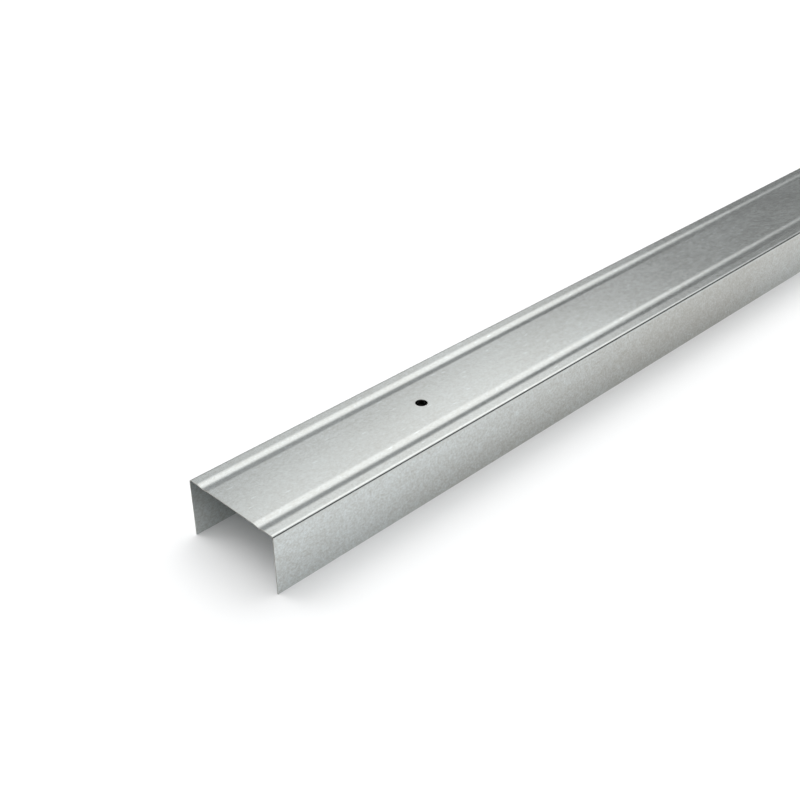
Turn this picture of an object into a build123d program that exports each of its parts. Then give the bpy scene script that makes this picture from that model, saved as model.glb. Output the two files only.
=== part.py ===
"""Metal stud track: one roll-formed channel of thin galvanised sheet.

It lies as it does on a floor, on the cut edges of its two flanges, with the web on top.
X runs along the track, Y across the web and Z up. The origin is the middle of the
rectangle that the track stands on. All sizes are in millimetres.
"""

import os
from math import asin, degrees

from build123d import *

# The stock: sold by these four sizes
LENGTH = 3000.0
WEB_WIDTH = 75.0        # over the outer faces of the flanges
FLANGE_HEIGHT = 40.0    # from the cut edge to the outer face of the web
SHEET = 0.6

# The two bends between web and flanges
BEND_INSIDE_RADIUS = 1.4

# The two stiffening grooves, rolled into the web's outer face along its whole length
GROOVE_FROM_EDGE = 12.4     # from the web's edge to the groove's centre
GROOVE_WIDTH = 10.6
GROOVE_DEPTH = 0.5

# The fixing holes, punched in one row along the middle of the web
HOLE_DIAMETER = 8.0
FIRST_HOLE = 150.0          # from one end of the track
HOLE_PITCH = 500.0
END_MARGIN = 20.0           # least metal left between the last hole and the other end


def groove_radius():
    """The outer face's one radius in a groove: at its bottom and on the lip at each side."""
    return (GROOVE_WIDTH**2 / 4 + GROOVE_DEPTH**2) / (4 * GROOVE_DEPTH)


def outer_half():
    """The outer face from one flange's cut edge to the middle of the web."""
    bend = BEND_INSIDE_RADIUS + SHEET
    groove = groove_radius()
    turn = degrees(asin(GROOVE_WIDTH / 4 / groove))
    half = WEB_WIDTH / 2
    groove_start = half - GROOVE_FROM_EDGE + GROOVE_WIDTH / 2

    flange = Line((half, 0), (half, FLANGE_HEIGHT - bend))
    corner = JernArc(flange @ 1, flange % 1, radius=bend, arc_size=90)
    strip = Line(corner @ 1, (groove_start, FLANGE_HEIGHT))
    lip_in = JernArc(strip @ 1, strip % 1, radius=groove, arc_size=turn)
    bottom = JernArc(lip_in @ 1, lip_in % 1, radius=groove, arc_size=-2 * turn)
    lip_out = JernArc(bottom @ 1, bottom % 1, radius=groove, arc_size=turn)
    Line(lip_out @ 1, (0, FLANGE_HEIGHT))


def stud_track():
    """The folded section, run out to the full length, with its row of fixing holes."""
    with BuildPart() as track:
        with BuildSketch(Plane.YZ):
            with BuildLine():
                outer_half()
                mirror(about=Plane.YZ)
                offset(amount=SHEET, side=Side.LEFT)
            make_face()
        extrude(amount=LENGTH / 2, both=True)

        free_length = LENGTH - FIRST_HOLE - END_MARGIN - HOLE_DIAMETER / 2
        hole_count = int(free_length // HOLE_PITCH) + 1
        holes = [FIRST_HOLE - LENGTH / 2 + HOLE_PITCH * i for i in range(hole_count)]
        with Locations(*[(x, 0, FLANGE_HEIGHT) for x in holes]):
            Hole(HOLE_DIAMETER / 2)
    return track.part


os.makedirs("parts", exist_ok=True)
export_step(stud_track(), "parts/stud_track.step")
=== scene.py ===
from math import cos, radians, sin

import bpy
from mathutils import Matrix, Vector


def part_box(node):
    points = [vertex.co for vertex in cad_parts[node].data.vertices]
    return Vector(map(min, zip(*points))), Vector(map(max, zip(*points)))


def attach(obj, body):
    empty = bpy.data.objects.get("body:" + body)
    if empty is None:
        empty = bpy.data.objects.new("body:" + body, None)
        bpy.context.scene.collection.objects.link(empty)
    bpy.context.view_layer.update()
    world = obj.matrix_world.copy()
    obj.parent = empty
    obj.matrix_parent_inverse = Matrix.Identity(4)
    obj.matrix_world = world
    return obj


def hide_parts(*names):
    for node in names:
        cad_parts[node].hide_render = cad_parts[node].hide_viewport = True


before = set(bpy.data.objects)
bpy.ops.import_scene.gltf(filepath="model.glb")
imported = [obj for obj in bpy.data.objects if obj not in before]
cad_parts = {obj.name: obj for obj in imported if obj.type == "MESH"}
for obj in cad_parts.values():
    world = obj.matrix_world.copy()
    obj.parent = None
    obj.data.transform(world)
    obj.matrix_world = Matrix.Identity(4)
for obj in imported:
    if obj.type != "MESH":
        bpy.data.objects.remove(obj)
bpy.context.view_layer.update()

# The stud track: one strip of galvanised sheet, roll-formed cold into a channel with two
# shallow grooves along its web, sheared to length and punched with a row of fixing holes.
# It stands on the cut edges of its flanges, and nothing else is fixed to it.

MM = 0.001
low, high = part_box("stud_track")

TRACK_SIZES = {
    "Length": high.x - low.x,
    "Width": high.y - low.y,
    "Height": high.z - low.z,
    "Sheet": 0.6 * MM,
    "Bend Radius": 2.0 * MM,            # of the outer face
    "Groove From Edge": 12.4 * MM,      # from the web's edge to the groove's middle
    "Groove Width": 10.6 * MM,
    "Groove Depth": 0.5 * MM,
    "Hole Diameter": 8.0 * MM,
    "First Hole": 150.0 * MM,           # from the end with the nearer hole
    "Hole Pitch": 500.0 * MM,
    "Hole Count": 6,
    "Crown": 0.11 * MM,                 # how much lower the web is at its grooves
    "Waviness": 0.15 * MM,              # how far the thin sheet strays from flat
    "Narrow Face": 0.3 * MM,            # beside each round, so that it doesn't shade the flat
    "Row Length": 12.0 * MM,            # of one row of faces along the track
}

# How many faces each part of half the section has, the web from its groove to its middle
FLANGE_FACES, BEND_FACES, STRIP_FACES = 6, 10, 2
LIP_FACES, GROOVE_FACES, WEB_FACES = 5, 10, 6

HOLE_CORNERS = 48
WAVES = (180 * MM, 50 * MM, 50 * MM)    # the size of one wave along, across and up
SAME_POINT = 0.001 * MM                 # points that are nearer to each other are one
HOLE_SLIVER = 0.02 * MM                 # edges shorter than this are left from the punching
SQUARE_ON = 0.9                         # a normal's least part along the axis that it follows
UPRIGHT = 0.5                           # a normal's most part along Z in an upright face
HOLE_WALL = 0.51                        # of a hole's diameter, from the middle of the web
CREASE = radians(12)

ZINC_DARK = (0.42, 0.413, 0.382, 1.0)
ZINC_LIGHT = (0.65, 0.688, 0.69, 1.0)
BARE_STEEL = (0.25, 0.235, 0.225, 1.0)
FLANGE_TOP = 37.5 * MM                  # below it the zinc has the flanges' coarser grain, and a much stronger painted shade
PAINTED_SHADE_START = (61.2, 0.0, 0.0)         # puts a patch of painted light at the end with the nearer hole, and painted shade further along
NICK_SLANT = radians(35)
NICKS_PER_METRE = (18.0, 110.0, 1.0)    # along and across their slant
NICK_SIZE = 0.05                        # of the room that each nick has
STEEL_GRAIN = 900.0                     # grains in a metre of bare steel


class Value:
    """A node's output. Arithmetic on it adds Math nodes to the same tree."""

    def __init__(self, graph, socket):
        self.graph, self.socket = graph, socket

    def __add__(self, other):
        return self.graph.math("ADD", self, other)

    def __sub__(self, other):
        return self.graph.math("SUBTRACT", self, other)

    def __rsub__(self, other):
        return self.graph.math("SUBTRACT", other, self)

    def __mul__(self, other):
        return self.graph.math("MULTIPLY", self, other)

    def __truediv__(self, other):
        return self.graph.math("DIVIDE", self, other)

    def __rtruediv__(self, other):
        return self.graph.math("DIVIDE", other, self)

    def __pow__(self, other):
        return self.graph.math("POWER", self, other)

    def __gt__(self, other):
        return self.graph.math("GREATER_THAN", self, other)

    def __lt__(self, other):
        return self.graph.math("LESS_THAN", self, other)

    __radd__ = __add__
    __rmul__ = __mul__


class Graph:
    """A node tree that is written as expressions."""

    def __init__(self, tree):
        self.tree = tree

    def node(self, kind, settings=None, inputs=None, output=0):
        """Adds a node: its settings first, then the values or links of its inputs."""
        node = self.tree.nodes.new(kind)
        for name, setting in (settings or {}).items():
            setattr(node, name, setting)
        for key, value in (inputs or {}).items():
            socket = node.inputs[key] if isinstance(key, int) else next(
                s for s in node.inputs if s.enabled and key in (s.name, s.identifier))
            for link in value if isinstance(value, list) else [value]:
                if isinstance(link, Value):
                    self.tree.links.new(link.socket, socket)
                else:
                    socket.default_value = link
        return Value(self, node.outputs[output]) if len(node.outputs) else node

    def math(self, operation, *values):
        return self.node("ShaderNodeMath", {"operation": operation}, dict(enumerate(values)))

    def vector(self, x=0.0, y=0.0, z=0.0):
        return self.node("ShaderNodeCombineXYZ", {}, {"X": x, "Y": y, "Z": z})

    def parts(self, vector):
        """A vector's x, y and z."""
        node = self.node("ShaderNodeSeparateXYZ", {}, {0: vector}).socket.node
        return [Value(self, output) for output in node.outputs]


def empty_graph(owner):
    """The graph of a new material or world, cleared of Blender's own nodes."""
    owner.use_nodes = True
    owner.node_tree.nodes.clear()
    return Graph(owner.node_tree)


def galvanised_sheet():
    """Zinc from the hot bath, pressed smooth: a satin grey with faint, fine crystals."""
    material = bpy.data.materials.new("galvanised_sheet")
    g = empty_graph(material)
    place = g.node("ShaderNodeTexCoord", output="Object")
    flange = g.parts(place)[2] < FLANGE_TOP

    def along(length, across, start=(0.0, 0.0, 0.0)):
        """The pattern's coordinates, for marks of this size along and across the track."""
        return g.node("ShaderNodeVectorMath", {"operation": "MULTIPLY_ADD"}, {
            0: place, 1: (1 / length, 1 / across, 1 / across), 2: start})

    def noise(coordinates, detail=2.0, roughness=0.5):
        return g.node("ShaderNodeTexNoise", {}, {
            "Vector": coordinates, "Scale": 1.0, "Detail": detail, "Roughness": roughness})

    # What the bath and the rolls leave, and last a broad painted shade
    crystals = g.node("ShaderNodeTexVoronoi", {}, {
        "Vector": along(2.6 * MM, 2.2 * MM), "Scale": 1.0}, output="Color")
    crystal = g.node("ShaderNodeSeparateColor", {}, {"Color": crystals})
    grain = noise(along(1.6 * MM, 1.3 * MM), roughness=0.6)
    mottle = noise(along(5 * MM, 4 * MM), detail=3.0, roughness=0.6)
    clouds = noise(along(70 * MM, 35 * MM))
    rolling = noise(along(120 * MM, 0.7 * MM))
    # Broad patches of painted light and shade, strong on the flanges: light at the end with
    # the nearer hole, darker further along where less light falls on them; on the web only a
    # faint uneven tone
    broad_painted_shade = noise(along(420 * MM, 150 * MM, PAINTED_SHADE_START), detail=1.0)

    # What handling leaves: a few short, slanting, light nicks on the web
    slanted = g.node("ShaderNodeMapping", {"vector_type": "POINT"}, {
        "Vector": place, "Rotation": (0.0, 0.0, NICK_SLANT), "Scale": NICKS_PER_METRE})
    from_nick = g.node("ShaderNodeTexVoronoi", {"voronoi_dimensions": "2D"}, {
        "Vector": slanted, "Scale": 1.0}, output="Distance")
    nick = g.math("MAXIMUM", 1 - from_nick / NICK_SIZE, 0.0) * (1 - flange)

    # The last term of the tone is the painted shade, mostly on the flanges
    tone = (0.5 + nick * 0.6 + (crystal - 0.5) * 0.09 + (clouds - 0.5) * 0.26
            + (rolling - 0.5) * 0.17 + (mottle - 0.5) * (0.3 + flange * 0.3)
            + (grain - 0.5) * (0.52 + flange * 1.05) + (broad_painted_shade - 0.5) * (0.15 + flange * 1.5))
    colour = g.node("ShaderNodeMix", {"data_type": "RGBA"}, {
        "Factor_Float": tone, "A_Color": ZINC_DARK, "B_Color": ZINC_LIGHT}, output=2)
    relief = g.node("ShaderNodeBump", {}, {
        "Strength": 0.15, "Distance": 0.02 * MM,
        "Height": crystal * 0.4 + mottle + rolling * 0.3})
    shader = g.node("ShaderNodeBsdfPrincipled", {}, {
        "Base Color": colour, "Metallic": 1.0,
        "Roughness": 0.19 + clouds * 0.04 + crystal * 0.04, "Normal": relief})
    g.node("ShaderNodeOutputMaterial", {}, {"Surface": shader})
    return material


def sheared_edge():
    """The steel's own grey-brown core, bare where the sheet was cut or punched."""
    material = bpy.data.materials.new("sheared_edge")
    g = empty_graph(material)
    place = g.node("ShaderNodeTexCoord", output="Object")
    grain = g.node("ShaderNodeTexNoise", {}, {
        "Vector": place, "Scale": STEEL_GRAIN, "Detail": 2.0})
    colour = g.node("ShaderNodeMix", {"data_type": "RGBA"}, {
        "Factor_Float": grain, "A_Color": BARE_STEEL, "B_Color": ZINC_DARK}, output=2)
    shader = g.node("ShaderNodeBsdfPrincipled", {}, {
        "Base Color": colour, "Metallic": 1.0, "Roughness": 0.35 + grain * 0.15})
    g.node("ShaderNodeOutputMaterial", {}, {"Surface": shader})
    return material


def roll_formed_track(sheet_material, edge_material):
    """The tree that rolls the section out along the track and punches its holes."""
    tree = bpy.data.node_groups.new("roll_formed_track", "GeometryNodeTree")
    for name, value in TRACK_SIZES.items():
        kind = "NodeSocketInt" if isinstance(value, int) else "NodeSocketFloat"
        tree.interface.new_socket(name, in_out="INPUT", socket_type=kind)
    tree.interface.new_socket("Track", in_out="OUTPUT", socket_type="NodeSocketGeometry")
    g = Graph(tree)
    inputs = tree.nodes.new("NodeGroupInput").outputs
    size = {name: Value(g, inputs[name]) for name in TRACK_SIZES}

    def run(x0, y0, x1, y1, faces=1):
        """A straight run of the section."""
        line = g.node("GeometryNodeCurvePrimitiveLine", {}, {
            "Start": g.vector(x0, y0), "End": g.vector(x1, y1)})
        return g.node("GeometryNodeResampleCurve", {}, {"Curve": line, "Count": faces + 1})

    def bend(x, y, radius, start, turn, faces):
        """A round of the section about (x, y)."""
        arc = g.node("GeometryNodeCurveArc", {"mode": "RADIUS"}, {
            "Resolution": faces + 1, "Radius": radius, "Start Angle": start,
            "Sweep Angle": turn})
        return g.node("GeometryNodeTransform", {}, {
            "Geometry": arc, "Translation": g.vector(x, y)})

    # The outer face of half the section, from a flange's cut edge to the middle of the web.
    # A groove has one radius, at its bottom and on the lip at each side.
    half, top = size["Width"] / 2, size["Height"]
    corner, narrow = size["Bend Radius"], size["Narrow Face"]
    groove, depth = half - size["Groove From Edge"], size["Groove Depth"]
    reach = size["Groove Width"] / 2
    radius = (reach ** 2 + depth ** 2) / (depth * 4)
    turn = g.math("ARCSINE", reach / (radius * 2))
    outer_half = g.node("GeometryNodeJoinGeometry", {}, {"Geometry": [
        run(half, 0.0, half, top - corner - narrow, FLANGE_FACES),
        run(half, top - corner - narrow, half, top - corner),
        bend(half - corner, top - corner, corner, 0.0, radians(90), BEND_FACES),
        run(half - corner, top, half - corner - narrow, top),
        run(half - corner - narrow, top, groove + reach + narrow, top, STRIP_FACES),
        run(groove + reach + narrow, top, groove + reach, top),
        bend(groove + reach, top - radius, radius, radians(90), turn, LIP_FACES),
        bend(groove, top - depth + radius, radius, radians(270) - turn, turn * 2,
             GROOVE_FACES),
        bend(groove - reach, top - radius, radius, radians(90) - turn, turn, LIP_FACES),
        run(groove - reach, top, groove - reach - narrow, top),
        run(groove - reach - narrow, top, 0.0, top, WEB_FACES),
    ]})
    other_half = g.node("GeometryNodeTransform", {}, {
        "Geometry": outer_half, "Scale": (-1.0, 1.0, 1.0)})
    halves = g.node("GeometryNodeJoinGeometry", {}, {"Geometry": [outer_half, other_half]})
    edges = g.node("GeometryNodeCurveToMesh", {}, {"Curve": halves})
    section = g.node("GeometryNodeMergeByDistance", {}, {
        "Geometry": edges, "Distance": SAME_POINT})

    # Rolled out along the track, where a profile stands upside down and the other way round
    profile = g.node("GeometryNodeTransform", {}, {
        "Geometry": g.node("GeometryNodeMeshToCurve", {}, {"Mesh": section}),
        "Rotation": (0.0, 0.0, radians(180))})
    path = g.node("GeometryNodeCurvePrimitiveLine", {}, {
        "Start": g.vector(size["Length"] / -2), "End": g.vector(size["Length"] / 2)})
    rows = g.node("GeometryNodeResampleCurve", {}, {
        "Curve": path, "Count": size["Length"] / size["Row Length"] + 1})
    rolled = g.node("GeometryNodeFlipFaces", {}, {
        "Mesh": g.node("GeometryNodeCurveToMesh", {}, {
            "Curve": rows, "Profile Curve": profile})})

    # Thin sheet is never quite flat: it waves, and the web is domed between its grooves
    here = g.node("GeometryNodeInputPosition")
    _, across, up = g.parts(here)
    wave_place = g.node("ShaderNodeVectorMath", {"operation": "MULTIPLY"}, {
        0: here, 1: tuple(1 / size for size in WAVES)})
    wave = g.node("ShaderNodeTexNoise", {}, {
        "Vector": wave_place, "Scale": 1.0, "Detail": 1.0})
    inward = g.node("ShaderNodeVectorMath", {"operation": "SCALE"}, {
        0: g.node("GeometryNodeInputNormal"), "Scale": wave * size["Waviness"] * -1.0})
    dome = g.math("MINIMUM", (across / (groove - reach)) ** 2, 1.0)
    sunk = g.vector(0.0, 0.0, dome * size["Crown"] * up / top * -1.0)
    offset = g.node("ShaderNodeVectorMath", {"operation": "ADD"}, {0: inward, 1: sunk})
    outer = g.node("GeometryNodeSetPosition", {}, {"Geometry": rolled, "Offset": offset})

    # The sheet's thickness: the inner face and the cut edges
    inner = g.node("GeometryNodeExtrudeMesh", {"mode": "FACES"}, {
        "Mesh": outer, "Offset Scale": size["Sheet"] * -1.0, "Individual": False})
    turned = g.node("GeometryNodeFlipFaces", {}, {"Mesh": inner})
    skins = g.node("GeometryNodeJoinGeometry", {}, {"Geometry": [outer, turned]})
    sheet = g.node("GeometryNodeMergeByDistance", {}, {
        "Geometry": skins, "Distance": SAME_POINT})

    # The row of holes, punched right through
    row = g.node("GeometryNodeMeshLine", {"mode": "OFFSET"}, {
        "Count": size["Hole Count"],
        "Start Location": g.vector(size["First Hole"] - size["Length"] / 2, 0.0, top),
        "Offset": g.vector(size["Hole Pitch"])})
    punch = g.node("GeometryNodeMeshCylinder", {}, {
        "Vertices": HOLE_CORNERS, "Radius": size["Hole Diameter"] / 2,
        "Depth": size["Sheet"] * 6})
    punches = g.node("GeometryNodeRealizeInstances", {}, {
        "Geometry": g.node("GeometryNodeInstanceOnPoints", {}, {
            "Points": row, "Instance": punch})})
    punched = g.node("GeometryNodeMeshBoolean", {
        "operation": "DIFFERENCE", "solver": "EXACT"}, {"Mesh 1": sheet, "Mesh 2": punches})
    clean = g.node("GeometryNodeMergeByDistance", {}, {
        "Geometry": punched, "Distance": HOLE_SLIVER})

    # Finish: zinc all over, and bare steel on the cut ends, the cut edges and in the holes
    normal_x, _, normal_z = g.parts(g.node("GeometryNodeInputNormal"))
    at_end = g.math("ABSOLUTE", normal_x) > SQUARE_ON
    at_foot = (normal_z < -SQUARE_ON) * (up < top / 2)
    in_hole = (g.math("ABSOLUTE", across) < size["Hole Diameter"] * HOLE_WALL) * (
        g.math("ABSOLUTE", normal_z) < UPRIGHT)
    plain = g.node("GeometryNodeRealizeInstances", {}, {"Geometry": clean})
    zinc = g.node("GeometryNodeSetMaterial", {}, {
        "Geometry": plain, "Material": sheet_material})
    done = g.node("GeometryNodeSetMaterial", {}, {
        "Geometry": zinc, "Selection": at_end + at_foot + in_hole,
        "Material": edge_material})
    output = tree.nodes.new("NodeGroupOutput")
    tree.links.new(done.socket, output.inputs["Track"])
    return tree


def shaped(name, tree, sizes):
    """A plain mesh object from a tree of geometry nodes and its sizes."""
    piece = bpy.data.objects.new(name, bpy.data.meshes.new(name))
    bpy.context.scene.collection.objects.link(piece)
    modifier = piece.modifiers.new(name, "NODES")
    modifier.node_group = tree
    for item in tree.interface.items_tree:
        if item.name in sizes:
            modifier[item.identifier] = sizes[item.name]
    depsgraph = bpy.context.evaluated_depsgraph_get()
    mesh = bpy.data.meshes.new_from_object(piece.evaluated_get(depsgraph))
    piece.modifiers.remove(modifier)
    piece.data = mesh
    mesh.name = name
    return piece


track = shaped("stud_track_sheet", roll_formed_track(galvanised_sheet(), sheared_edge()),
               TRACK_SIZES)
track.data.shade_smooth()
track.data.set_sharp_from_angle(angle=CREASE)
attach(track, "root")
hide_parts("stud_track")

# The floor: a wide round sheet of white paper, a hair below the feet of the flanges, so
# that no face of it lies in one plane with theirs.

FLOOR_RADIUS, FLOOR_CORNERS = 60.0, 96
FLOOR_GAP = 0.02 * MM

turns = [radians(360 / FLOOR_CORNERS * i) for i in range(FLOOR_CORNERS)]
rim = [(FLOOR_RADIUS * cos(t), FLOOR_RADIUS * sin(t), low.z - FLOOR_GAP) for t in turns]
floor_mesh = bpy.data.meshes.new("floor")
floor_mesh.from_pydata(rim, [], [range(FLOOR_CORNERS)])
floor = bpy.data.objects.new("floor", floor_mesh)
bpy.context.scene.collection.objects.link(floor)
paper = bpy.data.materials.new("floor_paper")
g = empty_graph(paper)
shader = g.node("ShaderNodeBsdfPrincipled", {}, {
    "Base Color": (0.97, 0.97, 0.97, 1.0), "Roughness": 0.9, "Specular IOR Level": 0.1})
g.node("ShaderNodeOutputMaterial", {}, {"Surface": shader})
floor_mesh.materials.append(paper)

# The studio: a dim, cool surround with soft round lamps in it, dark flags beside them that
# the metal mirrors too, and a white backdrop that rises a little above the floor.

# A lamp or flag is its middle's azimuth, from +X towards +Y, and elevation, the radius of its
# full part and of its soft rim, all four in degrees, and its strength
LAMPS = [
    # Mirrored by the web and its grooves
    (36, 48, 11, 24, 1.25),
    (38, 31, 2, 9, 0.13),
    (68, 20, 8, 22, 0.08),
    # Mirrored by the bend in front
    (9, 40, 4, 15, 0.5),
    (-18, 57, 12, 26, 1.1),
    # For the floor, and the soft shadow on it
    (105, 52, 10, 28, 2.4),
    (190, 60, 12, 35, 0.8),
    (250, 60, 12, 32, 0.25),
    (180, 82, 15, 40, 0.5),
]
BEND_FLAGS = [(-62, 11, 14, 32, 0.93), (-36, 15, 13, 25, 0.97)]
WEB_FLAGS = [(33, 10, 7, 20, 0.4), (26, 24, 2, 9, 0.2), (48, 35, 1, 7, 0.13)]
SURROUND = 0.38
SURROUND_TINT = (0.965, 1.0, 1.02, 1.0)
LAMP_TINT = (1.0, 1.0, 1.0, 1.0)
BACKDROP_FULL, BACKDROP_TOP = radians(4), radians(9)

world = bpy.data.worlds.new("studio")
bpy.context.scene.world = world
g = empty_graph(world)
direction = g.node("ShaderNodeTexCoord", output="Generated")


def soft_step(value, start, end):
    """A smooth rise from 0 to 1 as the value goes from start to end."""
    return g.node("ShaderNodeMapRange", {"interpolation_type": "SMOOTHSTEP"}, {
        "Value": value, "From Min": start, "From Max": end})


def softbox(azimuth, elevation, core, rim, strength):
    """How strong a round, soft-edged lamp or flag is in a direction."""
    azimuth, elevation = radians(azimuth), radians(elevation)
    aim = (cos(elevation) * cos(azimuth), cos(elevation) * sin(azimuth), sin(elevation))
    nearness = g.node("ShaderNodeVectorMath", {"operation": "DOT_PRODUCT"}, {
        0: direction, 1: aim}, output="Value")
    return soft_step(nearness, cos(radians(rim)), cos(radians(core))) * strength


lamps = sum(softbox(*lamp) for lamp in LAMPS)
bend_flags = g.math("MAXIMUM", *[softbox(*flag) for flag in BEND_FLAGS])
flags = sum((softbox(*flag) for flag in WEB_FLAGS), bend_flags)
backdrop = soft_step(g.parts(direction)[2], sin(BACKDROP_TOP), sin(BACKDROP_FULL))
sky = (lamps + SURROUND) * (1 - flags) * (1 - backdrop) + backdrop
tint = g.node("ShaderNodeMix", {"data_type": "RGBA"}, {
    "Factor_Float": g.math("MAXIMUM", lamps, backdrop),
    "A_Color": SURROUND_TINT, "B_Color": LAMP_TINT}, output=2)
light = g.node("ShaderNodeBackground", {}, {"Color": tint, "Strength": sky})
g.node("ShaderNodeOutputWorld", {}, {"Surface": light})

# The camera: it stands before the end with the nearer hole and looks down along the track.
# Its place, its directions and its lens were fitted to the track in the photograph.

SENSOR, LENS = 36.0, 51.71
EYE_FROM_END = Vector((-0.2846, -0.4261, 0.4206))
FORWARD = Vector((0.5932, 0.60766, -0.52807))
UPWARD = Vector((0.37796, 0.36895, 0.84913))

camera_data = bpy.data.cameras.new("camera")
camera_data.sensor_width, camera_data.lens = SENSOR, LENS
camera_data.clip_start, camera_data.clip_end = 0.01, 100.0
camera = bpy.data.objects.new("camera", camera_data)
bpy.context.scene.collection.objects.link(camera)
forward = FORWARD.normalized()
right = forward.cross(UPWARD).normalized()
facing = Matrix((right, right.cross(forward), -forward)).transposed()
eye = EYE_FROM_END + Vector((low.x, 0.0, 0.0))
camera.matrix_world = Matrix.Translation(eye) @ facing.to_4x4()
bpy.context.scene.camera = camera

bpy.context.scene.view_settings.view_transform = "Standard"
